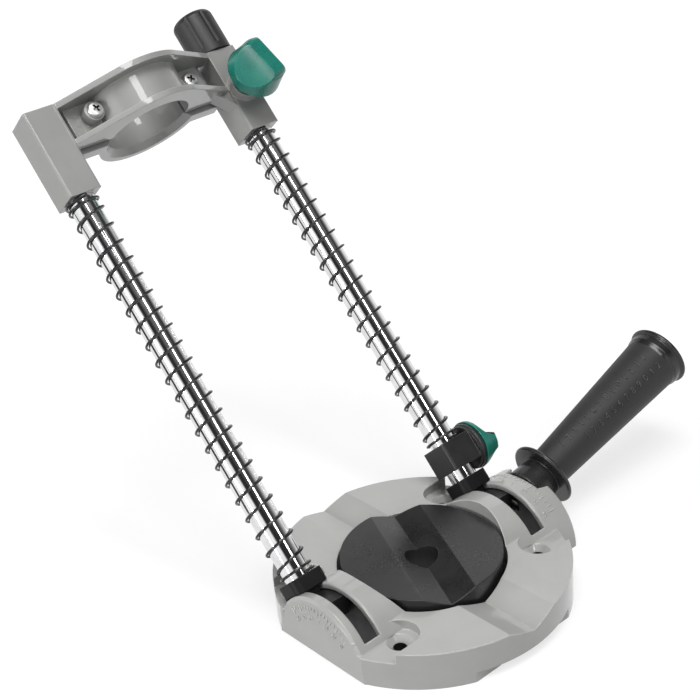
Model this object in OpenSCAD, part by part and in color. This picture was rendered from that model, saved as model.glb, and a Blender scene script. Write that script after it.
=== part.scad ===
// Angle drill stand: a round cast base, two sprung columns that tilt on curved tracks, and a
// carriage whose split ring clamps the collar of a hand drill.
// Millimetres, Z up. The origin is the centre of the base's underside and the columns tilt about Y.
// Column parts are drawn upright, with the column axis along Z, and then leaned by on_columns().

/* [Base] */
// Radius of the round base
base_r = 61; // [58:0.5:74]
// Height of the base's top plate
plate_z = 16.6; // [16:0.2:20]
// Distance from the centre to the flat on the left side
flat_y = 56.2; // [55.5:0.1:57.5]
// Half width of the vee groove across the base
vee_w = 12.3; // [8:0.1:14.8]
// Depth of the vee groove
vee_d = 4.2; // [2.5:0.1:5]
// Thickness of the cast walls
wall_t = 4; // [3:0.1:5]
// Radius of the centre opening
opening_r = 34.8; // [34:0.1:37.5]
// Height of the shoulder that the centre insert sits on
seat_z = 5; // [3:0.5:6]
// Width of that shoulder
seat_w = 3; // [2:0.5:5]
// Height of the ledge round each fixing hole
ledge_z = 12.2; // [10:0.1:12.6]
// Distance of the fixing holes from the curved tracks, along the vee groove
hole_out = 1.7; // [1:0.1:5]
// Distance of the fixing holes from the centre across the vee groove
hole_y = 39.4; // [36:0.1:44]
// Diameter of a fixing hole
hole_d = 5.2; // [4:0.1:6]
// Radius of the recess round a fixing hole
recess_r = 8; // [6.5:0.1:9]
// Half width of the relief under the front and rear rim
relief_y = 27.2; // [15:0.1:30]
// Height of that relief
relief_z = 4.5; // [2:0.5:6]

/* [Tilt track] */
// Radius of the curved tracks about the tilt axis
track_r = 25.8; // [24.5:0.1:31]
// Thickness of the curved track
track_t = 2.8; // [2.2:0.1:5]
// Width of the slot along the track
slot_w = 7.8; // [6.5:0.1:9.4]
// Chamfer along the edges of that slot
slot_chamfer = 0.6; // [0.2:0.1:1]
// Distance of each column from the centre
column_y = 47.2; // [46:0.1:48.2]
// Outer face of the right track, which carries the clamping handle
drum_y = 66.5; // [62:0.5:72]
// Chamfer on the outer edge of each track
track_chamfer = 1.2; // [0.5:0.1:2]
// Lean of the columns from upright, as drawn
lean = 42.1; // [0:0.1:45]
// Furthest lean of the columns to each side
lean_limit = 45; // [30:1:45]

/* [Columns] */
// Diameter of a column tube
column_d = 12; // [10:0.1:12.6]
// Wall of a column tube
column_wall = 1.2; // [0.8:0.1:1.5]
// Height of the foot's top face above the track
foot_h = 5.5; // [4.5:0.1:8]
// Width of a foot across the track
foot_y = 16; // [15:0.1:18]
// Depth of a foot along the track
foot_x = 14.4; // [13.5:0.1:15]
// Diameter of the screw that holds a column
screw_d = 6; // [5:0.5:6]

/* [Springs] */
// Diameter of the spring wire
wire_d = 1.1; // [0.8:0.05:1.3]
// Clearance between the spring and its column
spring_gap = 0.2; // [0.15:0.05:0.4]
// Coils of the left spring
left_coils = 24; // [16:1:26]
// Coils of the right spring
right_coils = 22; // [14:1:24]
// Pitch of the close coils at each end of a spring
end_pitch = 2.4; // [1.8:0.1:3]

/* [Carriage] */
// Distance from the tilt axis to the bottom of the carriage blocks
block_t = 208.3; // [170:0.1:260]
// Length of a carriage block along its column
block_h = 40; // [36:0.5:48]
// Depth of a carriage block from front to back
block_x = 15.8; // [15:0.1:18]
// Width of a carriage block
block_y = 15.4; // [14.5:0.1:17]
// Diameter of the drill collar that the ring clamps
collar_d = 38; // [32:0.1:46]
// Wall of the front half of the clamp ring
ring_wall = 3; // [2.5:0.1:4]
// Wall of the rear half of the clamp ring
rear_wall = 6; // [4:0.1:7]
// Height of the arms and the ring
arm_h = 20; // [16:0.5:22]
// How far the arm flanges stand out beyond the ring's wall
flange_out = 5.5; // [4:0.1:6]
// Thickness of the arm flanges
flange_t = 2.6; // [2:0.1:4]
// Gap between the two halves of the ring
split_gap = 1.5; // [1:0.1:2]
// Thickness of the web behind the clamp screws
web_t = 2.8; // [2:0.1:4]
// Diameter of the clamp screws
clamp_screw_d = 4; // [3:0.5:4]
// Depth of the rear clamp's ears
ear_x = 6.6; // [5:0.1:8]
// How far the rear clamp sits below the arms
rear_drop = 1.8; // [0:0.1:3]

/* [Depth stop and cap] */
// Height of the depth stop above the foot
stop_lift = 4.7; // [3:0.1:40]
// Height of the depth stop
stop_h = 12.6; // [10:0.1:16]
// Radius of the depth stop's drum
stop_drum_r = 10.5; // [9:0.1:10.6]
// Diameter of the cap on the right column
cap_d = 19; // [17:0.1:21]
// Length of that cap
cap_h = 20.6; // [16:0.1:26]

/* [Wing knobs] */
// Radius of the lock knob's disc
lock_knob_r = 12.4; // [11:0.1:14]
// Height of the lock knob above its hub
lock_knob_h = 14.2; // [11:0.1:16]
// Length of the lock knob's hub
lock_hub_h = 8; // [6:0.1:10]
// Turn of the lock knob's bar from the column direction
lock_turn = 15; // [0:1:90]
// Radius of the hollow on each side of the lock knob's bar
lock_hollow_r = 26; // [10:1:60]
// Radius of the stop knob's disc
stop_knob_r = 11; // [9.5:0.1:12]
// Height of the stop knob
stop_knob_h = 7.4; // [6:0.1:9]
// Turn of the stop knob's bar
stop_turn = 26; // [0:1:90]
// Radius of the hollow on each side of the stop knob's bar
stop_hollow_r = 7; // [6:0.5:30]
// Length of the bar across a wing knob
knob_bar_l = 20; // [16:0.1:21.5]
// Width of that bar
knob_bar = 6.4; // [4:0.1:8]
// Diameter of the studs in the knobs
stud_d = 6; // [5:0.5:6]

/* [Handle] */
// Height of the handle's axis at the outer face of the right track
handle_z = 18.5; // [17:0.1:20]
// Rise of the handle above level
handle_rise = 17.6; // [14:0.1:20]
// Length of the handle beyond the outer face of the track
handle_len = 92; // [80:1:120]
// Radius of the handle's guard flange
guard_r = 15.2; // [12:0.1:15.2]
// Radius of the grip next to the guard
grip_r1 = 8.8; // [8:0.1:11]
// Radius of the grip before the lip at its far end
grip_r2 = 12.6; // [11:0.1:14]
// Radius of the lip
lip_r = 14.6; // [14:0.1:17]
// Radius of the hollow that leads into the lip
lip_flare_r = 8; // [4:0.5:12]
// Diameter of the handle's stud
handle_stud_d = 8; // [6:0.5:8]
// Radius of the seat that the handle's neck turns in
handle_seat_r = 11.5; // [10.5:0.1:13]
// Depth of that seat
handle_seat_d = 3.9; // [3:0.1:6]

/* [Centre insert] */
// Radius of the insert's raised disc
insert_r = 33.2; // [28:0.1:34]
// Height of the insert's top
insert_z = 20.7; // [18:0.1:22]
// Half width of the insert's vee groove
insert_vee_w = 11; // [8:0.1:14]
// Diameter of the hole through the insert
insert_hole_d = 13.8; // [8:0.1:16]
// Turn of the insert from the base's vee groove
insert_turn = -24; // [-180:1:180]

/* [Hidden] */
$fn = 64;
tiny = 0.01;
far = 400;
sides = [-1, 1];

// clearances
running = 0.05;
thread_gap = 0.05;
drop_gap = 0.3;
slide_gap = 0.3;
seat_gap = 0.3;

// base
insert_flange_h = 4;
hollow_z = plate_z - vee_d - wall_t;
inner_wall_r = opening_r + wall_t;
outer_wall_r = base_r - wall_t;
pocket_spans = [[-43, -16], [-13, 13], [16, 43]];
track_inner_y = 28;
foot_t = track_r + foot_h;
tongue_half = 3.9;
slide_w = 13.4;
slide_r0 = 13;
slide_r1 = track_r - track_t - slide_gap;
slide_half_angle = 43;
slide_screw_seat = slide_r0 + 1.2;
slot_x = track_r * sin(lean_limit) + tongue_half * cos(lean_limit);
slot_end = asin(slot_x / track_r);
hole_x = track_r + hole_out;
screw_head_r = 5.2;
screw_head_h = 4.4;
screw_end_t = foot_t + 10;

// columns
stop_t = foot_t + stop_lift;
column_r = column_d / 2;
socket_t = track_r + 1.8;
foot_corner = 3.5;
plug_h = 18;
block_top_t = block_t + block_h;
cap_t = block_top_t + seat_gap;
left_top_t = block_top_t - 2;
right_top_t = cap_t + cap_h - 4;

// springs
wire_r = wire_d / 2;
rings_per_coil = 8;
spring_r = (column_r + spring_gap + wire_r) / cos(180 / rings_per_coil);
wire_sides = 6;
end_coils = 1.5;
stop_top_t = stop_t + stop_h;

// carriage
bore_r = collar_d / 2;
ring_r = bore_r + ring_wall;
rear_r = bore_r + rear_wall;
rear_lead = 2.8;
flange_r = ring_r + flange_out;
arm_t = block_top_t - arm_h;
arm_mid_t = arm_t + arm_h / 2;
front_x = block_x / 2;
arm_end_y = column_y - block_y / 2;
split_x = split_gap / 2;
web_x = split_x + web_t;
clamp_head_r = 0.9 * clamp_screw_d;
clamp_y = ring_r + clamp_head_r - 0.4;
clamp_t = arm_mid_t + 1;
boss_r = clamp_screw_d / 2 + 2.4;
boss_x = [9, 6.2];
window_y = [3.8, 6.2];
clamp_head_h = 2.6;
ear_end_y = arm_end_y - 2;
block_corner = 1.2;
lock_t = block_t + block_h / 2;
lock_boss_r = 7;
lock_boss_x = front_x + 4;
gusset = 7;

// knobs
hub_r = 6.5;
knob_rim = 3;
knob_stud_share = 0.35;
stop_knob_rim = 1.8;
stud_tip_gap = 0.2;
lock_hub_x = lock_boss_x + 0.4;

// depth stop
stop_mid_t = stop_t + stop_h / 2;
stop_x = 16;
stop_back_y = 7.2;
stop_front_y = 9.3;
stop_drum_y0 = column_y + column_r + 2.2;
stop_lip_y = column_y + 11.3;
stop_lip_h = 1.5;
stop_hub_y = stop_lip_y + 0.4;

// handle
guard_s = 7;
guard_t = 2;
neck_r = 10.4;
lip_bead_r = 1.2;
handle_stud_len = 42;
stud_tip_s = -(drum_y - column_y - slide_w / 2 - slide_gap) / cos(handle_rise) + 1.4;

// placing
module on_columns() {
    rotate([0, -lean, 0]) children();
}

module on_handle() {
    translate([0, drum_y, handle_z]) rotate([handle_rise - 90, 0, 0]) children();
}

module along_y(y0, y1) {
    translate([0, y1, 0]) rotate([90, 0, 0]) linear_extrude(y1 - y0) children();
}

module rounded_plate(w, d, r) {
    square([w - 2 * r, d], center = true);
    square([w, d - 2 * r], center = true);
    for (sx = sides, sy = sides) {
        translate([sx * (w / 2 - r), sy * (d / 2 - r)]) circle(r);
    }
}

module above_floor() {
    intersection() {
        children();
        translate([-far / 2, -far / 2, 0]) cube(far);
    }
}

// vee groove along X: its valley is at height z_top - depth
module vee_cut(half_w, depth, z_top, length) {
    rotate([90, 0, 90]) translate([0, 0, -length / 2]) linear_extrude(length) polygon([
        [-half_w, z_top], [0, z_top - depth], [half_w, z_top], [half_w, z_top + 1], [-half_w, z_top + 1]
    ]);
}

// one end of a track: a half drum about the tilt axis with a chamfered outer edge
module track_drum(side, outer_y) {
    body = outer_y - track_chamfer - track_inner_y;
    above_floor() mirror([0, side < 0 ? 1 : 0, 0]) translate([0, track_inner_y, 0]) rotate([-90, 0, 0]) {
        cylinder(r = track_r, h = body);
        translate([0, 0, body]) cylinder(r1 = track_r, r2 = track_r - track_chamfer, h = track_chamfer);
    }
}

// chamfered mouth of a track's slot, turned about the tilt axis
module slot_mouth() {
    mouth = slot_w / 2 + slot_chamfer;
    rotate([90, 0, 0]) rotate([0, 0, 90 - slot_end]) rotate_extrude(angle = 2 * slot_end) polygon([
        [track_r - slot_chamfer, -slot_w / 2], [track_r + tiny, -mouth],
        [track_r + tiny, mouth], [track_r - slot_chamfer, slot_w / 2]
    ]);
}

// level ledge round a fixing hole, open to the rim
module ledge_recess() {
    translate([0, 0, ledge_z]) {
        cylinder(r = recess_r, h = plate_z);
        translate([-recess_r, 0, 0]) cube([2 * recess_r, base_r, plate_z]);
    }
}

module at_fixing_holes() {
    for (sx = sides, sy = sides) {
        flip = sy < 0 ? 1 : 0;
        translate([sx * hole_x, sy * hole_y, 0]) mirror([0, flip, 0]) children();
    }
}

module fixing_hole() {
    hole_r = hole_d / 2;
    translate([0, 0, -1]) cylinder(r = hole_r, h = plate_z);
    translate([0, 0, ledge_z - hole_r]) cylinder(r1 = hole_r, r2 = 2 * hole_r, h = hole_r);
}

// one end of the cast hollow under the plate, with ribs between its pockets
module underside_pockets() {
    for (span = pocket_spans) {
        rotate([0, 0, span[0]]) rotate_extrude(angle = span[1] - span[0])
            translate([inner_wall_r, -1]) square([outer_wall_r - inner_wall_r, hollow_z + 1]);
    }
    translate([outer_wall_r - 2, -relief_y, -1]) cube([base_r, 2 * relief_y, relief_z + 1]);
}

module base_casting() color([0.65, 0.65, 0.64]) difference() {
    union() {
        difference() {
            cylinder(r = base_r, h = plate_z);
            translate([-base_r, -flat_y - base_r, -1]) cube([2 * base_r, base_r, plate_z + 2]);
            vee_cut(vee_w, vee_d, plate_z, 2 * base_r + 2);
            at_fixing_holes() ledge_recess();
        }
        track_drum(-1, flat_y);
        track_drum(1, drum_y);
    }
    translate([0, 0, seat_z]) cylinder(r = opening_r, h = far);
    translate([0, 0, -1]) cylinder(r = opening_r - seat_w, h = far);
    for (side = sides) {
        slot_y = side * column_y;
        half_w = slide_w / 2 + slide_gap;
        along_y(slot_y - half_w, slot_y + half_w) circle(track_r - track_t);
        translate([-slot_x, slot_y - slot_w / 2, -1]) cube([2 * slot_x, slot_w, 2 * track_r]);
        translate([0, slot_y, 0]) slot_mouth();
    }
    at_fixing_holes() fixing_hole();
    for (turn = [0, 180]) rotate([0, 0, turn]) underside_pockets();
    on_handle() {
        stud_hole = handle_stud_d / 2 + thread_gap;
        translate([0, 0, -handle_seat_d]) cylinder(r = handle_seat_r, h = far);
        translate([0, 0, stud_tip_s - 4]) cylinder(r = stud_hole, h = 4 - stud_tip_s);
    }
}

// drop-in plastic disc that turns in the opening, hollow and ribbed underneath
module centre_insert() color([0.16, 0.16, 0.17]) rotate([0, 0, insert_turn]) {
    insert_vee_d = vee_d;
    hole_r = insert_hole_d / 2;
    pocket_z = insert_z - insert_vee_d - wall_t;
    difference() {
        union() {
            translate([0, 0, seat_z]) cylinder(r = insert_r, h = insert_z - seat_z);
            translate([0, 0, seat_z]) cylinder(r = opening_r - drop_gap, h = insert_flange_h);
        }
        vee_cut(insert_vee_w, insert_vee_d, insert_z, 2 * insert_r + 2);
        translate([0, 0, -1]) cylinder(r = hole_r, h = far);
        for (quarter = [0:90:270]) {
            rotate([0, 0, quarter + 5]) rotate_extrude(angle = 80)
                translate([hole_r + wall_t, 0]) square([insert_r - hole_r - 2 * wall_t, pocket_z]);
        }
    }
}

// plastic foot: a saddle on the track, a tongue in the slot and a socket for the column
module foot() color([0.14, 0.14, 0.15]) {
    saddle_r = track_r + seat_gap;
    difference() {
        union() {
            difference() {
                linear_extrude(foot_t) rounded_plate(foot_x, foot_y, foot_corner);
                along_y(-far, far) circle(saddle_r);
            }
            tongue_w = slot_w - 2 * slide_gap;
            translate([-tongue_half, -tongue_w / 2, 0]) cube([2 * tongue_half, tongue_w, saddle_r + 1]);
        }
        along_y(-far, far) circle(track_r - track_t - slide_gap + seat_gap / 2);
        translate([0, 0, socket_t]) cylinder(r = column_r + running, h = far);
        cylinder(r = screw_d / 2 + 0.2, h = far);
    }
}

// curved slide under the track: the column's screw draws it up against the track
module slide() color([0.14, 0.14, 0.15]) difference() {
    rotate([90, 0, 0]) rotate([0, 0, 90 - slide_half_angle])
        rotate_extrude(angle = 2 * slide_half_angle)
            translate([slide_r0, -slide_w / 2]) square([slide_r1 - slide_r0, slide_w]);
    cylinder(r = screw_d / 2 + 0.2, h = far);
    cylinder(r = screw_head_r + seat_gap, h = slide_screw_seat);
}

module at_column(side) {
    on_columns() translate([0, side * column_y, 0]) children();
}

module column_tube(top_t) color([0.85, 0.85, 0.87]) difference() {
    translate([0, 0, socket_t]) cylinder(r = column_r, h = top_t - socket_t);
    cylinder(r = column_r - column_wall, h = far);
}

// turned plug in the bottom of each tube, tapped for the column's screw
module column_plugs() color([0.6, 0.6, 0.62]) for (side = sides) {
    at_column(side) translate([0, 0, socket_t]) difference() {
        cylinder(r = column_r - column_wall - running, h = plug_h);
        translate([0, 0, -1]) cylinder(r = screw_d / 2 + thread_gap, h = plug_h + 2);
    }
}

module column_screws() color([0.55, 0.55, 0.58]) for (side = sides) {
    head_t = slide_screw_seat - screw_head_h;
    shank_h = screw_end_t - slide_screw_seat;
    at_column(side) difference() {
        union() {
            translate([0, 0, head_t]) cylinder(r = screw_head_r, h = screw_head_h);
            translate([0, 0, slide_screw_seat - tiny]) cylinder(r = screw_d / 2, h = shank_h);
        }
        translate([0, 0, head_t - 1]) cylinder(r = screw_d / 2 - 0.2, h = 3.2, $fn = 6);
    }
}

// height of a spring's wire after n of its coils, with close coils at both ends
function coil_height(n, coils, length) =
    let (
        closed = end_coils * end_pitch,
        pitch = (length - 2 * closed) / (coils - 2 * end_coils)
    )
    n < end_coils ? n * end_pitch
    : n > coils - end_coils ? length - (coils - n) * end_pitch
    : closed + (n - end_coils) * pitch;

function spring_path(t0, t1, coils) =
    let (
        length = t1 - t0 - 2 * wire_d,
        steps = coils * rings_per_coil,
        last_turn = 360 * coils
    )
    [
        [spring_r, 0, t0],
        for (i = [0:steps])
            let (turn = 360 * i / rings_per_coil)
            [
                spring_r * cos(turn), spring_r * sin(turn),
                t0 + wire_d + coil_height(i / rings_per_coil, coils, length)
            ],
        [spring_r * cos(last_turn), spring_r * sin(last_turn), t1]
    ];

function unit(v) = v / norm(v);

// one ring of the wire, square to the path at point i
function wire_ring(path, i) =
    let (
        before = path[max(i - 1, 0)],
        after = path[min(i + 1, len(path) - 1)],
        along = unit(after - before),
        outward = unit([path[i][0], path[i][1], 0]),
        out = unit(outward - (outward * along) * along),
        side = cross(along, out)
    )
    [for (k = [0:wire_sides - 1])
        path[i] + wire_r * (cos(360 * k / wire_sides) * out + sin(360 * k / wire_sides) * side)];

function self_gap(path) =
    min([for (i = [0:len(path) - 1], j = [i + rings_per_coil / 2:1:len(path) - 1])
        norm(path[i] - path[j])]) - wire_d;

module coil_spring(name, t0, t1, coils) {
    path = spring_path(t0, t1, coils);
    rings = [for (i = [0:len(path) - 1]) each wire_ring(path, i)];
    count = len(path);
    n = wire_sides;
    walls = [for (i = [0:count - 2], k = [0:n - 1])
        let (a = i * n + k, b = i * n + (k + 1) % n)
        each [[a, a + n, b], [b, a + n, b + n]]];
    start_cap = [for (k = [1:n - 2]) [0, k, k + 1]];
    end_first = (count - 1) * n;
    end_cap = [for (k = [1:n - 2]) [end_first, end_first + k + 1, end_first + k]];
    echo(str(name, " least gap between its coils: ", self_gap(path), " mm"));
    polyhedron(points = rings, faces = concat(walls, start_cap, end_cap));
}

module left_spring() color([0.1, 0.1, 0.1]) at_column(-1)
    coil_spring("left spring", foot_t + tiny, block_t - tiny, left_coils);

module right_spring() color([0.1, 0.1, 0.1]) at_column(1)
    coil_spring("right spring", stop_top_t + tiny, block_t - tiny, right_coils);

// fluted plastic cap that stops the carriage at the top of the right column
module column_cap() color([0.13, 0.13, 0.14]) at_column(1) translate([0, 0, cap_t]) {
    cap_r = cap_d / 2;
    edge = 3;
    flutes = 8;
    difference() {
        rotate_extrude() {
            square([cap_r, cap_h - edge]);
            square([cap_r - edge, cap_h]);
            intersection() {
                translate([cap_r - edge, cap_h - edge]) circle(edge);
                square([cap_r, cap_h]);
            }
        }
        translate([0, 0, -1]) cylinder(r = column_r + running, h = right_top_t - cap_t + 1 + tiny);
        for (k = [0:flutes - 1]) {
            rotate([0, 0, 360 * k / flutes]) translate([cap_r + 0.5, 0, 3]) cylinder(r = 1.1, h = cap_h);
        }
    }
}

// outline of the arms from above: straight flanks that run tangent to the flange's round front
module arm_outline() {
    reach = norm([front_x, arm_end_y]);
    touch = atan2(front_x, arm_end_y) + acos(flange_r / reach);
    touch_x = flange_r * sin(touch);
    touch_y = flange_r * cos(touch);
    intersection() {
        union() {
            polygon([
                [0, -arm_end_y - 1], [front_x, -arm_end_y - 1],
                [front_x, -arm_end_y], [touch_x, -touch_y],
                [touch_x, touch_y], [front_x, arm_end_y],
                [front_x, arm_end_y + 1], [0, arm_end_y + 1]
            ]);
            circle(flange_r);
        }
        translate([split_x, -far / 2]) square(far);
    }
}

// hollow of the arms between their flanges: the web and the ring's wall stay, and a window opens
// between the web and each block
module arm_pocket() {
    difference() {
        translate([web_x, -arm_end_y]) square([far, 2 * arm_end_y]);
        circle(ring_r);
    }
    for (k = [0, 1]) {
        translate([0, sides[k] * (arm_end_y - window_y[k] / 2)])
            square([2 * web_x + tiny, window_y[k]], center = true);
    }
}

module clamp_boss(k) {
    translate([0, sides[k] * clamp_y, clamp_t]) rotate([0, 90, 0])
        translate([0, 0, split_x]) cylinder(r = boss_r, h = boss_x[k] - split_x);
}

module carriage() color([0.62, 0.62, 0.61]) on_columns() difference() {
    union() {
        for (side = sides) {
            translate([0, side * column_y, block_t]) linear_extrude(block_h)
                rounded_plate(block_x, block_y, block_corner);
        }
        difference() {
            translate([0, 0, arm_t]) linear_extrude(arm_h) arm_outline();
            translate([0, 0, arm_t + flange_t]) linear_extrude(arm_h - 2 * flange_t) arm_pocket();
        }
        clamp_boss(0);
        clamp_boss(1);
        along_x = front_x - split_x;
        translate([split_x, 0, 0]) rotate([90, 0, 90]) linear_extrude(along_x) polygon([
            [arm_end_y - gusset, arm_t + tiny], [arm_end_y + tiny, arm_t + tiny],
            [arm_end_y + tiny, arm_t - gusset]
        ]);
        translate([0, column_y, lock_t]) rotate([0, 90, 0]) cylinder(r = lock_boss_r, h = lock_boss_x);
    }
    cylinder(r = bore_r, h = far);
    for (side = sides) {
        translate([0, side * column_y, 0]) cylinder(r = column_r + running, h = far);
        translate([0, side * clamp_y, clamp_t]) rotate([0, 90, 0])
            cylinder(r = clamp_screw_d / 2 + 0.2, h = far);
    }
    for (k = [0, 1]) {
        translate([boss_x[k], sides[k] * clamp_y, clamp_t]) rotate([0, 90, 0])
            cylinder(r = clamp_head_r + seat_gap, h = far);
    }
    translate([0, column_y, lock_t]) rotate([0, 90, 0])
        cylinder(r = stud_d / 2 + thread_gap, h = far);
}

// rear half of the clamp ring with a tapped ear at each end and a flared lower edge
module rear_clamp() color([0.62, 0.62, 0.61]) on_columns() difference() {
    translate([0, 0, arm_t - rear_drop]) linear_extrude(arm_h) intersection() {
        union() {
            circle(rear_r);
            translate([-ear_x - split_x, -ear_end_y]) square([ear_x, 2 * ear_end_y]);
        }
        translate([-split_x - far, -far / 2]) square(far);
    }
    cylinder(r = bore_r, h = far);
    translate([0, 0, arm_t - rear_drop])
        cylinder(r1 = bore_r + rear_lead, r2 = bore_r - 1, h = rear_lead + 1);
    for (side = sides) {
        translate([-far / 2, side * clamp_y, clamp_t]) rotate([0, 90, 0])
            cylinder(r = clamp_screw_d / 2 + thread_gap, h = far);
    }
}

module clamp_screws() color([0.85, 0.85, 0.86]) on_columns() for (k = [0, 1]) {
    screw_len = boss_x[k] + split_x + ear_x;
    translate([boss_x[k], sides[k] * clamp_y, clamp_t]) rotate([0, 90, 0]) difference() {
        union() {
            cylinder(r1 = clamp_head_r, r2 = clamp_head_r - 0.8, h = clamp_head_h);
            translate([0, 0, -screw_len]) cylinder(r = clamp_screw_d / 2, h = screw_len + tiny);
        }
        for (turn = [0, 90]) {
            rotate([0, 0, turn]) translate([-2.2, -0.4, clamp_head_h - 1.2]) cube([4.4, 0.8, 2]);
        }
    }
}

// moulded knob: a drafted disc hollowed on both sides to leave a bar across it. Each hollow is
// round, from the top edge of the bar to the rim of the disc.
module wing_knob(r, h, rim, hollow_r) {
    chord = [r - knob_bar / 2, rim - h];
    middle = [knob_bar / 2, h] + chord / 2;
    rise = sqrt(hollow_r * hollow_r - chord * chord / 4);
    centre = middle + rise * [-chord[1], chord[0]] / norm(chord);
    stud_depth = rim + knob_stud_share * (h - rim);
    difference() {
        cylinder(r1 = r, r2 = knob_bar_l / 2, h = h);
        for (side = sides) {
            translate([-r - 1, side * centre[0], centre[1]]) rotate([0, 90, 0])
                cylinder(r = hollow_r, h = 2 * r + 2);
        }
        translate([0, 0, -1]) cylinder(r = stud_d / 2 + thread_gap, h = stud_depth + 1);
    }
}

module at_lock() {
    on_columns() translate([lock_hub_x, column_y, lock_t]) rotate([0, 90, 0]) children();
}

module lock_knob() color([0.13, 0.52, 0.45]) at_lock() {
    difference() {
        cylinder(r = hub_r, h = lock_hub_h + tiny);
        translate([0, 0, -1]) cylinder(r = stud_d / 2 + thread_gap, h = lock_hub_h + 2);
    }
    translate([0, 0, lock_hub_h]) rotate([0, 0, lock_turn])
        wing_knob(lock_knob_r, lock_knob_h, knob_rim, lock_hollow_r);
}

module lock_stud() color([0.6, 0.6, 0.62]) at_lock() {
    reach = lock_hub_x - column_r - stud_tip_gap;
    translate([0, 0, -reach]) cylinder(r = stud_d / 2, h = reach + lock_hub_h + knob_rim);
}

// clamping collar on the right column, with a drum for its knob
module stop_collar() color([0.14, 0.14, 0.15]) on_columns() difference() {
    union() {
        translate([0, column_y + (stop_front_y - stop_back_y) / 2, stop_t]) linear_extrude(stop_h)
            rounded_plate(stop_x, stop_front_y + stop_back_y, block_corner);
        translate([0, 0, stop_mid_t]) {
            along_y(stop_drum_y0, stop_lip_y) circle(stop_drum_r - 0.5);
            along_y(stop_lip_y - stop_lip_h, stop_lip_y) circle(stop_drum_r);
        }
    }
    translate([0, column_y, 0]) cylinder(r = column_r + running, h = far);
    translate([0, column_y, stop_mid_t]) rotate([-90, 0, 0])
        cylinder(r = stud_d / 2 + thread_gap, h = far);
}

module at_stop() {
    on_columns() translate([0, stop_hub_y, stop_mid_t]) rotate([-90, 0, 0]) children();
}

module stop_knob() color([0.13, 0.52, 0.45]) at_stop() rotate([0, 0, stop_turn])
    wing_knob(stop_knob_r, stop_knob_h, stop_knob_rim, stop_hollow_r);

module stop_stud() color([0.6, 0.6, 0.62]) at_stop() {
    reach = stop_hub_y - column_y - column_r - stud_tip_gap;
    translate([0, 0, -reach]) cylinder(r = stud_d / 2, h = reach + stop_knob_rim);
}

// profile of the lip: a bead at the end of the grip, with a hollow that runs into the grip's side
module lip_profile() {
    bead_s = handle_len - lip_bead_r;
    difference() {
        translate([0, bead_s - lip_flare_r]) square([lip_r - lip_bead_r, lip_flare_r + lip_bead_r]);
        translate([grip_r2 + lip_flare_r, bead_s - lip_flare_r]) circle(lip_flare_r);
    }
    translate([lip_r - lip_bead_r, bead_s]) circle(lip_bead_r);
}

// moulded grip, turned about the handle's axis: neck, guard, tapered body and flared lip
module handle_grip() color([0.15, 0.15, 0.16]) on_handle() {
    neck_s = -handle_seat_d + seat_gap;
    body_end = handle_len - lip_bead_r - lip_flare_r;
    difference() {
        rotate_extrude() {
            polygon([
                [0, neck_s], [neck_r, neck_s], [grip_r1 + 0.4, guard_s + tiny], [0, guard_s + tiny]
            ]);
            translate([0, guard_s]) square([guard_r - guard_t / 2, guard_t]);
            translate([guard_r - guard_t / 2, guard_s + guard_t / 2]) circle(guard_t / 2);
            polygon([[0, guard_s], [grip_r1, guard_s], [grip_r2, body_end + tiny], [0, body_end + tiny]]);
            lip_profile();
        }
        translate([0, 0, -handle_seat_d])
            cylinder(r = handle_stud_d / 2 + thread_gap, h = handle_stud_len);
    }
}

module handle_stud() color([0.6, 0.6, 0.62]) on_handle() {
    tip = 3;
    translate([0, 0, stud_tip_s])
        cylinder(r1 = handle_stud_d / 2 - 1.5, r2 = handle_stud_d / 2, h = tip);
    translate([0, 0, stud_tip_s + tip - tiny])
        cylinder(r = handle_stud_d / 2, h = handle_stud_len - handle_seat_d - stud_tip_s - tip - 1);
}

base_casting();
centre_insert();
at_column(-1) foot();  // left_foot
at_column(1) foot();  // right_foot
at_column(-1) slide();  // left_slide
at_column(1) slide();  // right_slide
at_column(-1) column_tube(left_top_t);  // left_column
at_column(1) column_tube(right_top_t);  // right_column
column_plugs();
column_screws();
left_spring();
right_spring();
column_cap();
carriage();
rear_clamp();
clamp_screws();
lock_knob();
lock_stud();
stop_collar();
stop_knob();
stop_stud();
handle_grip();
handle_stud();
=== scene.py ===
# Angle drill stand: the looks of every piece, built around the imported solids. Metres, Z up.
import bpy
from math import cos, pi, radians, sin, tau
from mathutils import Matrix, Vector


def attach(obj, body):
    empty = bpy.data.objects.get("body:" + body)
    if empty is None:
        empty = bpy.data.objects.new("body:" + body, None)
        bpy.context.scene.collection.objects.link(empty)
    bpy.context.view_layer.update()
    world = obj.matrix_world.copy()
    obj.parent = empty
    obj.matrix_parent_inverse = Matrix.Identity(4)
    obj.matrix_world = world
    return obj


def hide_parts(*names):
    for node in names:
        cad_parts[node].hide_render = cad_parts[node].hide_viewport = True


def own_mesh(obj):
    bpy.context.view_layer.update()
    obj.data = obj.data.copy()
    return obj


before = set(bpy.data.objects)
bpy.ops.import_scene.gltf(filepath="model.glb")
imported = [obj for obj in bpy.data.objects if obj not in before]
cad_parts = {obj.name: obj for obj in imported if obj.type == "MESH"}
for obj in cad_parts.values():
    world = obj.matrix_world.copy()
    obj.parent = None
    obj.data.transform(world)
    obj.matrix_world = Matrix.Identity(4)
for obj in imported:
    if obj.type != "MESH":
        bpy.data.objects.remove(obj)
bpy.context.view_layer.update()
mm = 0.001

# Base casting
# A die-cast aluminium ring with a vee groove and two curved tracks, sprayed satin grey. The die
# leaves its outside edges softly rounded and its faces faintly uneven under the paint.
casting_grey = (0.39, 0.39, 0.378)
weld_reach = 0.002 * mm
sharp_angle = radians(15)
smooth_angle = radians(32)


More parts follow.
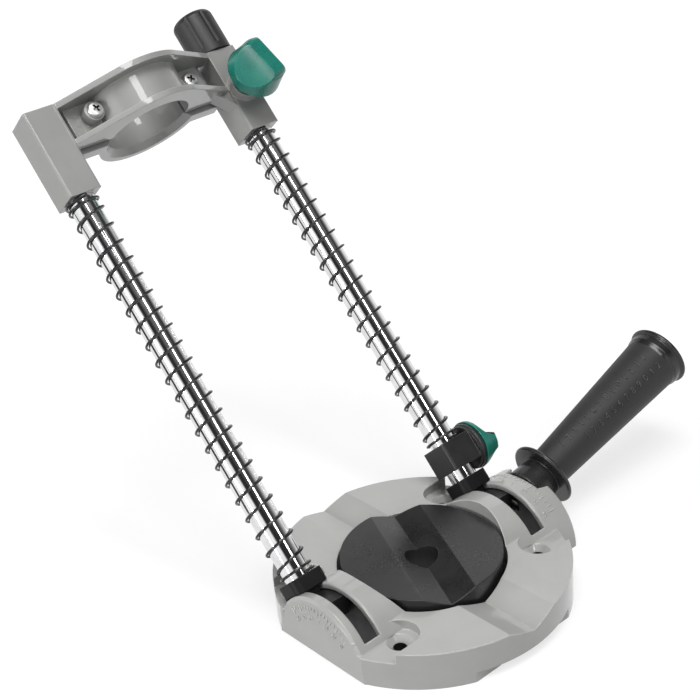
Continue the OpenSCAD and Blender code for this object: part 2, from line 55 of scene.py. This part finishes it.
class Wire:
    """An output socket in a node tree. Arithmetic on it adds Math nodes."""

    def __init__(self, tree, socket=None):
        self.tree = tree
        self.socket = socket

    def plug(self, socket, value):
        if isinstance(value, Wire):
            self.tree.links.new(value.socket, socket)
        else:
            socket.default_value = value

    def node(self, kind, out=0, sockets=None, **settings):
        """Any node: its settings first, then its sockets, each a value or another wire."""
        made = self.tree.nodes.new("ShaderNode" + kind)
        for name, value in settings.items():
            setattr(made, name, value)
        for name, value in (sockets or {}).items():
            self.plug(made.inputs[name], value)
        return Wire(self.tree, made.outputs[out])

    def math(self, operation, first, second):
        return self.node("Math", operation=operation, sockets={0: first, 1: second})

    def __add__(self, other):
        return self.math("ADD", self, other)

    def __radd__(self, other):
        return self.math("ADD", other, self)

    def __sub__(self, other):
        return self.math("SUBTRACT", self, other)

    def __rsub__(self, other):
        return self.math("SUBTRACT", other, self)

    def __mul__(self, other):
        return self.math("MULTIPLY", self, other)

    def __rmul__(self, other):
        return self.math("MULTIPLY", other, self)

    def spread(self, low, high, start=0.0, end=1.0):
        """Maps low..high to start..end, held at both ends."""
        return self.node("MapRange", sockets={
            "Value": self, "From Min": low, "From Max": high, "To Min": start, "To Max": end})

    def colours(self, first, second):
        """A colour from first, where the wire is 0, to second, where it is 1."""
        return self.node("Mix", out=2, data_type="RGBA", sockets={0: self, 6: first, 7: second})

    def noise(self, scale, detail=2.0, roughness=0.5):
        return self.node("TexNoise", sockets={
            "Vector": self, "Scale": scale, "Detail": detail, "Roughness": roughness})

    def bump(self, depth, over):
        """The wire as a height of that depth in metres, at half strength, over a normal."""
        return self.node("Bump", sockets={
            "Height": self, "Strength": 0.5, "Distance": depth, "Normal": over})


def finish(name, metallic=0.0):
    """A new material, with a wire on the piece's own coordinates and its surface shader."""
    material = bpy.data.materials.new(name)
    material.use_nodes = True
    skin = material.node_tree.nodes["Principled BSDF"]
    skin.inputs["Metallic"].default_value = metallic
    place = Wire(material.node_tree).node("TexCoord", out="Object")
    return material, place, skin


def lay(place, skin, colour, roughness, normal):
    """Joins a colour, a roughness and a normal to the surface shader."""
    place.plug(skin.inputs["Base Color"], colour)
    place.plug(skin.inputs["Roughness"], roughness)
    place.plug(skin.inputs["Normal"], normal)


def soft_edges(place, reach):
    """The normal of a piece with rounded edges, and a wire that is 1 along them and 0 on faces."""
    turned = place.node("Bevel", samples=8, sockets={"Radius": reach})
    straight = place.node("NewGeometry", out="Normal")
    alike = place.node("VectorMath", out="Value", operation="DOT_PRODUCT",
                       sockets={0: turned, 1: straight})
    return turned, (1.0 - alike).spread(0.008, 0.16)


def shade(colour, share):
    return tuple(part * share for part in colour[:3]) + (1,)


def cast_paint(name, grey):
    """Satin paint under a clear coat: faint clouds, fine specks and orange peel, pale on edges from wear
    and from a painted highlight.
    """
    material, place, skin = finish(name)
    skin.inputs["Coat Weight"].default_value = 1.0
    skin.inputs["Coat Roughness"].default_value = 0.04
    cloud = place.noise(38, 4, 0.6)
    speck = place.noise(2600, 1)
    peel = place.noise(520, 3, 0.55)
    soft, edge = soft_edges(place, 0.7 * mm)
    # edges turn pale: partly wear, partly a painted highlight
    worn_and_highlight = edge * place.noise(300, 2).spread(0.25, 0.5)
    paint = cloud.spread(0.3, 0.7).colours(shade(grey, 0.94), shade(grey, 1.06))
    colour = (worn_and_highlight * 0.85).colours(paint, shade(grey, 2.0))
    rough = cloud.spread(0.25, 0.75, 0.4, 0.5) + speck.spread(0.3, 0.7, -0.04, 0.04)
    lay(place, skin, colour, rough, (peel + speck * 0.2).bump(0.012 * mm, soft))
    return material


def alone(piece):
    """Only this piece is selected and active."""
    bpy.ops.object.select_all(action="DESELECT")
    piece.select_set(True)
    bpy.context.view_layer.objects.active = piece


def added(name, data):
    """A new object in the scene, selected alone."""
    piece = bpy.data.objects.new(name, data)
    bpy.context.scene.collection.objects.link(piece)
    alone(piece)
    return piece


def combine(piece, other, operation):
    """Cuts the other shape out of the piece, or keeps what lies in both, and drops the other."""
    alone(piece)
    boolean = piece.modifiers.new("combine", "BOOLEAN")
    boolean.object = other
    boolean.operation = operation
    boolean.solver = "EXACT"
    bpy.ops.object.modifier_apply(modifier="combine")
    bpy.data.objects.remove(other)


def rounded(node, width=0.2 * mm, within=None):
    """A copy of a CAD node, kept within another shape, whose sharp edges are rounded as in a mould."""
    piece = added(node + "_shape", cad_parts[node].data.copy())
    bpy.ops.object.mode_set(mode="EDIT")
    bpy.ops.mesh.select_all(action="SELECT")
    bpy.ops.mesh.customdata_custom_splitnormals_clear()
    bpy.ops.mesh.remove_doubles(threshold=weld_reach)
    bpy.ops.object.mode_set(mode="OBJECT")
    if within:
        combine(piece, within, "INTERSECT")
    edges = piece.modifiers.new("edges", "BEVEL")
    edges.width = width
    edges.segments = 3
    edges.limit_method = "ANGLE"
    edges.angle_limit = sharp_angle
    edges.use_clamp_overlap = False
    bpy.ops.object.modifier_apply(modifier="edges")
    bpy.ops.object.shade_smooth_by_angle(angle=smooth_angle)
    flats = piece.modifiers.new("flats", "WEIGHTED_NORMAL")
    flats.keep_sharp = True
    bpy.ops.object.modifier_apply(modifier="flats")
    return piece


def settle(piece, material, body, slot, *nodes):
    """The piece gets its material and body, and stands for its CAD nodes."""
    piece.data.materials.clear()
    piece.data.materials.append(material)
    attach(piece, body)
    if nodes:
        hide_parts(*nodes)


def coat_where(piece, material, chosen):
    """A second material, on the faces that a test chooses."""
    piece.data.materials.append(material)
    for face in piece.data.polygons:
        if chosen(face):
            face.material_index = 1


base = rounded("base_casting")
settle(base, cast_paint("base_paint", casting_grey), "base", "cast_grey", "base_casting")

# the channel under each track and the drilled holes are painted blotchy near black: a painted shade for
# their dark insides
channel_r = 23.2 * mm
channel_y = (40.1 * mm, 54.3 * mm)
hole_at = Vector((27.5, 39.4)) * mm
hole_r = 2.7 * mm
painted_shade_dark = (0.006, 0.006, 0.006, 1)
painted_shade_pale = (0.016, 0.016, 0.016, 1)
channel_shade, place, skin = finish("channel_painted_shade")
shade_blotch = place.noise(150, 4, 0.6)
lumps = place.noise(700, 3).bump(0.05 * mm, soft_edges(place, 0.3 * mm)[0])
lay(place, skin, shade_blotch.spread(0.3, 0.7).colours(painted_shade_dark, painted_shade_pale),
    shade_blotch.spread(0.3, 0.7, 0.4, 0.6), lumps)


def greased(face):
    centre = face.center
    in_channel = channel_y[0] < abs(centre.y) < channel_y[1] and centre.xz.length < channel_r
    in_hole = (Vector((abs(centre.x), abs(centre.y))) - hole_at).length < hole_r
    return in_channel or in_hole


coat_where(base, channel_shade, greased)

# Angle scales
# Ticks and plain numbers stand a little proud of the left flat and of the right track, cast in
# one with the base: a tick each 5 degrees, a longer one and a number each 15.
flat_y = -56.2 * mm
flat_tick_end = 22.6 * mm
flat_number_r = 17.4 * mm
flat_number_h = 2.7 * mm
track_r = 25.8 * mm
track_tick_end = 59.6 * mm
track_number_y = 54.2 * mm
track_number_h = 2.4 * mm
tick_w = 0.4 * mm
tick_t = 0.6 * mm
long_tick = 2.6 * mm
short_tick = 1.5 * mm
digit_proud = 0.28 * mm


def bar(size, turn, at):
    bpy.ops.mesh.primitive_cube_add(size=1, scale=size, rotation=turn, location=at)
    return bpy.context.active_object


def number(digits, height, matrix):
    """Raised digits, their centre at the matrix's place and their face along its Z."""
    bpy.ops.object.text_add()
    piece = bpy.context.active_object
    piece.data.body = digits
    piece.data.size = height
    piece.data.align_x = "CENTER"
    piece.data.align_y = "CENTER"
    piece.data.extrude = digit_proud
    piece.data.resolution_u = 3
    alone(piece)
    bpy.ops.object.convert(target="MESH")
    piece.matrix_world = matrix
    return piece


def joined(pieces, name):
    """The pieces as one mesh that holds their places."""
    bpy.ops.object.select_all(action="DESELECT")
    for piece in pieces:
        piece.select_set(True)
    bpy.context.view_layer.objects.active = pieces[0]
    bpy.ops.object.transform_apply(location=True, rotation=True, scale=True)
    bpy.ops.object.join()
    whole = bpy.context.active_object
    whole.name = name
    return whole


marks = []
for degree in range(-45, 46, 5):
    turn = radians(degree)
    out = Vector((sin(turn), 0, cos(turn)))
    numbered = degree % 15 == 0
    tick = long_tick if numbered else short_tick
    on_flat = out * (flat_tick_end - tick / 2) + Vector((0, flat_y, 0))
    on_track = out * track_r + Vector((0, track_tick_end - tick / 2, 0))
    marks.append(bar((tick_w, tick_t, tick), (0, turn, 0), on_flat))
    marks.append(bar((tick_w, tick, tick_t), (0, turn, 0), on_track))
    if numbered:
        swung = Matrix.Rotation(turn, 4, "Y")
        upright = swung @ Matrix.Rotation(pi / 2, 4, "X")
        on_flat = Matrix.Translation(out * flat_number_r + Vector((0, flat_y, 0)))
        on_track = Matrix.Translation(out * track_r + Vector((0, track_number_y, 0)))
        marks.append(number(str(abs(degree)), flat_number_h, on_flat @ upright))
        marks.append(number(str(abs(degree)), track_number_h, on_track @ swung))
# the marks take a paler copy of the base paint: a painted highlight on their raised faces
mark_highlight_paint = cast_paint("mark_highlight_paint", shade(casting_grey, 1.1))
settle(joined(marks, "scale_marks"), mark_highlight_paint, "base", "cast_grey")

# Centre insert
# A moulded black disc that drops into the ring and turns there. It has its own vee groove for
# round stock and a through hole for the bit, with a fine satin texture from the mould.
insert_bore_r = 7 * mm
plastic_black = (0.013, 0.013, 0.0135, 1)
plastic_grey = (0.021, 0.021, 0.0215, 1)
plastic_edge_wear_and_highlight = (0.16, 0.16, 0.163, 1)


def black_moulding(name, gloss=0.42, texture=0.03 * mm, grain=1500, level=1.0):
    """Black plastic: gloss is its roughness, texture the mould's depth, grain its fineness."""
    material, place, skin = finish(name)
    cloud = place.noise(60, 3, 0.6)
    fine = place.noise(grain, 2, 0.6)
    soft, edge = soft_edges(place, 0.5 * mm)
    # rubbed edges turn paler: partly wear, partly a painted highlight
    rub_and_highlight = edge * place.noise(240, 3).spread(0.35, 0.65)
    body = cloud.spread(0.3, 0.7).colours(shade(plastic_black, level), shade(plastic_grey, level))
    colour = (rub_and_highlight * 0.7).colours(body, plastic_edge_wear_and_highlight)
    rough = cloud.spread(0.3, 0.7, gloss - 0.05, gloss + 0.06) + fine.spread(0.3, 0.7, -0.03, 0.03)
    lay(place, skin, colour, rough, fine.bump(texture, soft))
    return material


def on_bore_wall(face):
    return face.center.xy.length < insert_bore_r and abs(face.normal.z) < 0.5


insert = rounded("centre_insert")
insert_moulding = black_moulding("insert_moulding", 0.3, 0.0015 * mm, 900)
settle(insert, insert_moulding, "insert", "black_plastic", "centre_insert")
# the wall of the bore takes a much darker copy of the black moulding: a painted shade inside the hole
coat_where(insert, black_moulding("bore_shade_moulding", 0.6, level=0.25), on_bore_wall)

# Column feet and slides
# Each foot is a moulded saddle on the track. A curved slide below the track is drawn up against
# it by the column screw, so the pair clamps the column at its angle.
foot_moulding = black_moulding("foot_moulding", 0.5, level=0.3)
foot_moulding.node_tree.nodes["Principled BSDF"].inputs["Specular IOR Level"].default_value = 0.22
for node in ("left_foot", "right_foot"):
    settle(rounded(node), foot_moulding, "columns", "black_plastic", node)


def dress(material, *nodes):
    """CAD nodes that keep their shape get a better material."""
    for node in nodes:
        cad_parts[node].material_slots[0].material = material


dress(black_moulding("slide_moulding", 0.4), "left_slide", "right_slide")

# Columns
# Two 12 mm steel tubes, ground and hard-chromed to a mirror. Fine rings from grinding and faint
# rubs from the carriage change how they shine along their length. Their plugs are zinc plated.
lean = radians(42.1)
along = Vector((-sin(lean), 0, cos(lean)))
front = Vector((cos(lean), 0, sin(lean)))
side = Vector((0, 1, 0))
column_y = 47.2 * mm
ring_stretch = 14


def bright_metal(name, tint, smooth):
    """Plated steel with rings about the columns' direction. Smooth is its least roughness."""
    material, place, skin = finish(name, metallic=1.0)
    turned = place.node("Mapping", sockets={"Vector": place, "Rotation": (0, lean, 0)})
    stretched = turned.node("Mapping", sockets={"Vector": turned, "Scale": (1, 1, ring_stretch)})
    rings = stretched.noise(4000, 2)
    grit = place.noise(1300, 2)
    rubs = place.noise(170, 4, 0.65)
    colour = rubs.spread(0.35, 0.65).colours(tint, shade(tint, 0.86))
    rough = rubs.spread(0.4, 0.75, smooth, smooth + 0.06) + rings.spread(0.4, 0.7, 0.0, 0.03)
    straight = place.node("NewGeometry", out="Normal")
    lay(place, skin, colour, rough, (rings * 0.4 + grit).bump(0.006 * mm, straight))
    return material


dress(bright_metal("hard_chrome", (0.86, 0.865, 0.87, 1), 0.05), "left_column", "right_column")
dress(bright_metal("zinc_plate", (0.74, 0.74, 0.73, 1), 0.2), "column_plugs", "lock_stud", "stop_stud")

# Springs
# Black oiled music wire, wound open with closed ends. The left one sits on its foot, the right
# one on the depth stop, and both push the carriage up. The right one is shown as two lengths:
# the stop squashes the lower one and the carriage the upper one.
wire_r = 0.55 * mm
spring_r = 6.95 * mm
steps_per_turn = 40
closed_turns = 1.5
closed_pitch = 0.3
foot_top = 31.3 * mm
stop_top = 48.6 * mm
middle = 96.4 * mm
block_t = 208.3 * mm
oil_dark = (0.03, 0.03, 0.031, 1)
oil_pale = (0.08, 0.08, 0.083, 1)


def spring_wire(name):
    material, place, skin = finish(name, metallic=0.75)
    oil = place.noise(220, 3, 0.6)
    drawn = place.noise(2400, 2)
    colour = oil.spread(0.3, 0.7).colours(oil_dark, oil_pale)
    rough = oil.spread(0.3, 0.7, 0.12, 0.24)
    lay(place, skin, colour, rough, drawn.bump(0.008 * mm, place.node("NewGeometry", out="Normal")))
    return material


def coil(name, y, start, end, turns, close_start, close_end):
    """A wound spring along a column: closed coils at an end that rests on something."""
    pitches = []
    for step in range(turns * steps_per_turn):
        near_start = close_start and step < closed_turns * steps_per_turn
        near_end = close_end and step >= (turns - closed_turns) * steps_per_turn
        pitches.append(closed_pitch if near_start or near_end else 1.0)
    curve = bpy.data.curves.new(name, "CURVE")
    curve.dimensions = "3D"
    curve.bevel_depth = wire_r
    curve.bevel_resolution = 3
    curve.use_fill_caps = True
    path = curve.splines.new("POLY")
    path.points.add(len(pitches))
    for step in range(len(pitches) + 1):
        turn = tau * step / steps_per_turn
        climbed = sum(pitches[:step]) / sum(pitches)
        height = start + wire_r + (end - start - 2 * wire_r) * climbed
        spot = front * (spring_r * cos(turn)) + side * (y + spring_r * sin(turn)) + along * height
        path.points[step].co = (*spot, 1)
    added(name, curve)
    bpy.ops.object.convert(target="MESH")
    bpy.ops.object.shade_smooth()
    return bpy.context.active_object


oiled = spring_wire("oiled_wire")
dress(oiled, "column_screws")
left_spring = coil("left_spring_wire", -column_y, foot_top, block_t, 24, True, True)
settle(left_spring, oiled, "columns", "spring_steel", "left_spring")
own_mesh(left_spring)
right_low = coil("right_spring_low", column_y, stop_top, middle, 7, True, False)
settle(right_low, oiled, "columns", "spring_steel", "right_spring")
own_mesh(right_low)
right_high = coil("right_spring_high", column_y, middle, block_t, 15, False, True)
settle(right_high, oiled, "columns", "spring_steel", "right_spring")
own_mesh(right_high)

# Column cap
# A moulded black cap pressed over the top of the right column, so the carriage can't come off.
# Eight shallow flutes run down its side and its top edge is domed.
cap = rounded("column_cap", 0.08 * mm)
settle(cap, black_moulding("cap_moulding", 0.45), "columns", "black_plastic", "column_cap")

# Carriage
# The sliding casting: a block bored for each column, two flanged arms and the front half of the
# ring that holds the drill's collar. The rear half is a casting of its own. Both take the base's
# paint in a darker copy: a painted shade for the weaker light on the carriage.
carriage_shaded_paint = cast_paint("carriage_shaded_paint", shade(casting_grey, 0.78))
for node in ("carriage", "rear_clamp"):
    settle(rounded(node), carriage_shaded_paint, "carriage", "cast_grey", node)

# the pins that pushed the casting from its die left shallow rings on the web of the left arm
web_x = 3.55 * mm
pin_r = 2.1 * mm
pin_line_r = 0.16 * mm
pin_spots = ((-33.2 * mm, 243.4 * mm), (-32.8 * mm, 234.9 * mm))
leaned = Matrix((front, side, along)).transposed().to_4x4()
facing_web = (leaned @ Matrix.Rotation(pi / 2, 4, "Y")).to_euler()
rings = []
for pin_y, pin_t in pin_spots:
    bpy.ops.mesh.primitive_torus_add(
        location=front * web_x + side * pin_y + along * pin_t, rotation=facing_web,
        major_radius=pin_r, minor_radius=pin_line_r, major_segments=36, minor_segments=8)
    rings.append(bpy.context.active_object)
pin_marks = joined(rings, "pin_marks")
bpy.ops.object.shade_smooth()
settle(pin_marks, carriage_shaded_paint, "carriage", "cast_grey")

# Clamp screws
# Two plated pan-head machine screws with cross recesses draw the halves of the ring together.
# Their heads sit on round bosses in the arms. One is turned and cut, and the other is its copy.
screw_profile = [(0, 2.4), (1.3, 2.38), (2.3, 2.28), (2.9, 2.05), (3.3, 1.6), (3.55, 0.95), (3.6, 0.3),
                 (3.5, 0.05), (1.95, 0), (1.95, -13), (1.6, -13.6), (0, -13.6)]
cross_size = (4.8 * mm, 1.25 * mm, 3 * mm)
cross_z = 2.3 * mm
cross_taper = 0.45
cross_floor = 0.5 * mm
cross_r = 2.4 * mm
clamp_t = 239.3 * mm
seam_reach = 0.005 * mm
screw_smooth = radians(28)
facing_front = Matrix((-along, side, front)).transposed().to_4x4()


def lathe(name, profile, steps=48):
    """A turned piece: the profile is (radius, height) points in mm, spun about Z."""
    outline = bpy.data.meshes.new(name)
    points = [(radius * mm, 0, height * mm) for radius, height in profile]
    outline.from_pydata(points, [(k, k + 1) for k in range(len(points) - 1)], [])
    piece = added(name, outline)
    bpy.ops.object.mode_set(mode="EDIT")
    bpy.ops.mesh.select_all(action="SELECT")
    bpy.ops.mesh.spin(steps=steps, angle=tau, center=(0, 0, 0), axis=(0, 0, 1))
    bpy.ops.mesh.select_all(action="SELECT")
    bpy.ops.mesh.remove_doubles(threshold=seam_reach)
    bpy.ops.mesh.normals_make_consistent(inside=False)
    bpy.ops.object.mode_set(mode="OBJECT")
    return piece


def placed(piece, matrix):
    """Puts a finished piece in its place and applies it."""
    alone(piece)
    piece.matrix_world = matrix
    bpy.ops.object.transform_apply(location=True, rotation=True, scale=True)


def in_cross(face):
    return face.center.z > cross_floor and face.normal.z < 0.8 and face.center.xy.length < cross_r


first_screw = lathe("clamp_screw_1", screw_profile)
for quarter in (0, 90):
    slot = bar(cross_size, (0, 0, radians(quarter)), (0, 0, cross_z))
    alone(slot)
    bpy.ops.object.transform_apply(location=True, rotation=True, scale=True)
    for corner in slot.data.vertices:
        if corner.co.z < cross_z:
            corner.co.x *= cross_taper
            corner.co.y *= cross_taper
    combine(first_screw, slot, "DIFFERENCE")
alone(first_screw)
bpy.ops.object.shade_smooth_by_angle(angle=screw_smooth)
cross_shade_faces = {face.index for face in first_screw.data.polygons if in_cross(face)}
second_screw = added("clamp_screw_2", first_screw.data.copy())
screw_places = ((first_screw, 9.0 * mm, -25.2 * mm, 20), (second_screw, 6.2 * mm, 25.2 * mm, 55))
bright_zinc = bright_metal("bright_zinc", (0.95, 0.95, 0.94, 1), 0.36)
for screw, boss_x, screw_y, degree in screw_places:
    spot = front * boss_x + side * screw_y + along * clamp_t
    turned = facing_front @ Matrix.Rotation(radians(degree), 4, "Z")
    placed(screw, Matrix.Translation(spot) @ turned)
    settle(screw, bright_zinc, "carriage", "plated_steel", "clamp_screws")
    # the cross recess takes the dark oiled-wire material: a painted shade in the recess
    coat_where(screw, oiled, lambda face: face.index in cross_shade_faces)

# Lock knob
# A moulded green wing knob on the right block. Its stud presses on the column and holds the
# carriage at a height. The ends of the wing are rounded off towards its top.
wing_profile = [(0, 34.6), (7.4, 34.6), (8.5, 34.3), (9.3, 33.75), (9.9, 32.95), (10.25, 32), (10.48, 31.2),
                (14, 30.4), (14, 11), (0, 11)]
wing_t = 228.3 * mm
green_deep = (0.010, 0.16, 0.125, 1)
green_pale = (0.014, 0.21, 0.16, 1)
green_edge_wear_and_highlight = (0.09, 0.42, 0.33, 1)


def green_moulding(name):
    material, place, skin = finish(name)
    cloud = place.noise(90, 3, 0.6)
    fine = place.noise(1100, 2, 0.6)
    soft, edge = soft_edges(place, 0.5 * mm)
    # rubbed edges turn paler: partly wear, partly a painted highlight
    rub_and_highlight = edge * place.noise(300, 3).spread(0.35, 0.65)
    body = cloud.spread(0.3, 0.7).colours(green_deep, green_pale)
    colour = (rub_and_highlight * 0.7).colours(body, green_edge_wear_and_highlight)
    rough = cloud.spread(0.3, 0.7, 0.24, 0.32) + fine.spread(0.3, 0.7, -0.03, 0.03)
    lay(place, skin, colour, rough, fine.bump(0.0025 * mm, soft))
    return material


knob_moulding = green_moulding("knob_moulding")
wing_outline = lathe("wing_outline", wing_profile, 72)
placed(wing_outline, Matrix.Translation(side * column_y + along * wing_t) @ facing_front)
lock_knob = rounded("lock_knob", within=wing_outline)
settle(lock_knob, knob_moulding, "lock", "green_plastic", "lock_knob")

# Depth stop
# A moulded black collar clamped on the right column by a green wing screw through its drum. The
# right spring rests on it.
stop_moulding = black_moulding("stop_moulding", 0.36)
settle(rounded("stop_collar"), stop_moulding, "stop", "black_plastic", "stop_collar")
settle(rounded("stop_knob"), knob_moulding, "stop_screw", "green_plastic", "stop_knob")

# Side handle
# A black moulded grip screwed into the right side of the base: a smooth glossy neck, guard and
# lip, and between them a tapered barrel with a matt texture and two rows of raised plain numbers.
handle_from = Vector((0, 66.5, 18.5)) * mm
handle_rise = radians(17.6)
handle_axis = Vector((0, cos(handle_rise), sin(handle_rise)))
handle_up = Vector((0, -sin(handle_rise), cos(handle_rise)))
barrel_from = 10.5 * mm
barrel_to = 84 * mm
barrel_r = 8.45 * mm
barrel_taper = 0.0502
grip_number_h = 4.2 * mm
number_pitch = 4.4 * mm
number_rows = ((70, 20.5 * mm, "12345678901234"), (37, 31.5 * mm, "123456789012"))


def on_barrel(face):
    return barrel_from < (face.center - handle_from).dot(handle_axis) < barrel_to


dress(oiled, "handle_stud")
grip = rounded("handle_grip", 0.3 * mm)
guard_moulding = black_moulding("guard_moulding", 0.24, 0.004 * mm)
settle(grip, guard_moulding, "handle", "black_plastic", "handle_grip")
coat_where(grip, black_moulding("grip_moulding", 0.54, 0.05 * mm, 1100), on_barrel)
raised = []
for degree, start, digits in number_rows:
    turn = radians(degree)
    out = Vector((cos(turn), 0, 0)) + handle_up * sin(turn)
    upright = Vector((-sin(turn), 0, 0)) + handle_up * cos(turn)
    reading = (handle_axis + out * barrel_taper).normalized()
    turned = Matrix((reading, upright, reading.cross(upright))).transposed().to_4x4()
    for step, digit in enumerate(digits):
        reach = start + step * number_pitch
        spot = handle_from + handle_axis * reach + out * (barrel_r + reach * barrel_taper)
        raised.append(number(digit, grip_number_h, Matrix.Translation(spot) @ turned))
# the numbers take a paler copy of the black moulding: a painted highlight on the raised digits
number_highlight_moulding = black_moulding("number_highlight_moulding", 0.4, 0.01 * mm, 1100, 2.2)
settle(joined(raised, "grip_numbers"), number_highlight_moulding, "handle", "black_plastic")

# Studio
# The photo's place: a white sweep under soft light from above and the left, with the camera
# where the photo was taken from.
camera_at = Vector((383.46, -349.84, 391.21)) * mm
yaw, pitch, roll = radians(50.01), radians(28.02), radians(-5.08)
sensor_width = 36
focal_pixels = 1558.12
photo_pixels = 700
ahead = Vector((-sin(yaw) * cos(pitch), cos(yaw) * cos(pitch), -sin(pitch)))
level = ahead.cross(Vector((0, 0, 1))).normalized()
upward = level.cross(ahead)
across = level * cos(roll) + upward * sin(roll)
above = upward * cos(roll) - level * sin(roll)
bpy.ops.object.camera_add()
camera = bpy.context.active_object
camera.matrix_world = Matrix.Translation(camera_at) @ Matrix((across, above, -ahead)).transposed().to_4x4()
camera.data.sensor_width = sensor_width
camera.data.lens = sensor_width * focal_pixels / photo_pixels
camera.data.clip_start = 0.01
bpy.context.scene.camera = camera
bpy.context.scene.view_settings.view_transform = "Standard"


def seen_directly(tree):
    """1 for rays from the camera, also through clear parts, and 0 for the rest."""
    return tree.node("LightPath", out="Is Camera Ray") + tree.node("LightPath", out="Is Transmission Ray")


# the sweep is even white to the camera far from the stand, takes its shadow near it, and glows to
# rays from shiny faces
near_glow = (1.8, 1.8, 1.8, 1)
far_glow = (1.04, 1.04, 1.04, 1)
bpy.ops.mesh.primitive_plane_add(size=12)
floor = bpy.context.active_object
floor.name = "floor"
white = bpy.data.materials.new("white_sweep")
white.use_nodes = True
sheet = Wire(white.node_tree)
paper = white.node_tree.nodes["Principled BSDF"]
paper.inputs["Base Color"].default_value = (0.5, 0.5, 0.5, 1)
paper.inputs["Roughness"].default_value = 0.8
paper.inputs["Specular IOR Level"].default_value = 0.1
here = sheet.node("TexCoord", out="Object")
away = sheet.node("VectorMath", out="Value", operation="LENGTH", sockets={0: here}).spread(0.15, 0.6)
to_camera = sheet.node("Emission", sockets={"Color": away.colours(near_glow, far_glow), "Strength": 1.0})
to_shiny = sheet.node("Emission", sockets={"Strength": 1.1})
shiny = sheet.node("LightPath", out="Is Glossy Ray")
lit_paper = Wire(white.node_tree, paper.outputs[0])
other_rays = sheet.node("MixShader", sockets={0: shiny * 0.75, 1: lit_paper, 2: to_shiny})
share = seen_directly(sheet) * away.spread(0, 1, 0.4, 1)
all_rays = sheet.node("MixShader", sockets={0: share, 1: other_rays, 2: to_camera})
sheet.plug(white.node_tree.nodes["Material Output"].inputs["Surface"], all_rays)
floor.data.materials.append(white)


def card(name, corners, grey, specular, glow):
    """A flat card, its corners in mm, that only shows in reflections."""
    outline = bpy.data.meshes.new(name)
    outline.from_pydata([Vector(corner) * mm for corner in corners], [], [tuple(range(len(corners)))])
    piece = added(name, outline)
    material = bpy.data.materials.new(name)
    material.use_nodes = True
    skin = material.node_tree.nodes["Principled BSDF"]
    skin.inputs["Base Color"].default_value = (grey, grey, grey, 1)
    skin.inputs["Specular IOR Level"].default_value = specular
    skin.inputs["Emission Color"].default_value = (1, 1, 1, 1)
    skin.inputs["Emission Strength"].default_value = glow
    piece.data.materials.append(material)
    piece.visible_camera = False
    piece.visible_diffuse = False
    piece.visible_shadow = False


# a black card on the floor to the left gives each column the dark line beside its left edge
card("black_card", ((-100, -115, 1), (-128, -140, 1), (-240, -215, 1), (-400, -300, 1), (-560, -380, 1),
                    (-560, -790, 1), (-400, -600, 1), (-240, -395, 1), (-128, -230, 1), (-100, -180, 1)),
     0.02, 0, 0)
# a white card that stands high behind is what the level faces reflect
card("white_card", ((-615, 1890, 300), (-1730, 1000, 300), (-1159, 669, 1486), (-413, 1273, 1486)),
     0.8, 0.5, 0.62)


def lamp(name, place, aim, size, power):
    bpy.ops.object.light_add(type="AREA", location=place)
    light = bpy.context.active_object
    light.name = name
    light.rotation_euler = (Vector(aim) - Vector(place)).to_track_quat("-Z", "Y").to_euler()
    light.data.shape = "RECTANGLE"
    light.data.size, light.data.size_y = size
    light.data.energy = power


lamp("overhead", (0.25, -0.3, 1.7), (-0.03, 0, 0.08), (0.9, 0.9), 20.5)
lamp("left", (-0.05, -1.8, 0.4), (-0.03, 0, 0.08), (0.35, 0.5), 11.5)
lamp("front", (0.4, 0.05, 0.63), (-0.08, 0, 0.1), (0.1, 0.32), 1.0)

# rays from shiny faces see white walls up to a height, which fade sooner on the right, and a dim
# ceiling. The camera sees plain white, and everything else gets an even fill.
world = bpy.data.worlds.new("studio")
world.use_nodes = True
bpy.context.scene.world = world
sky = Wire(world.node_tree)
heading = sky.node("TexCoord", out="Generated")
height = sky.node("SeparateXYZ", out="Z", sockets={0: heading})
right = sky.node("SeparateXYZ", out="Y", sockets={0: heading}).spread(-0.15, 0.25)
left_walls = height.spread(0.44, 0.54, 1.0, 0.025) * (1.0 - right)
right_walls = height.spread(0.12, 0.55, 0.95, 0.045) * right
ceiling = height.spread(0.68, 0.84, 0.0, 0.2)
shiny = sky.node("LightPath", out="Is Glossy Ray")
strength = shiny * (left_walls + right_walls + ceiling) + (1.0 - shiny) * 0.22
lit = sky.node("Background", sockets={"Color": (1, 1, 1, 1), "Strength": strength})
plain = sky.node("Background", sockets={"Color": (1, 1, 1, 1), "Strength": 1.0})
shown = sky.node("MixShader", sockets={0: seen_directly(sky), 1: lit, 2: plain})
sky.plug(world.node_tree.nodes["World Output"].inputs["Surface"], shown)
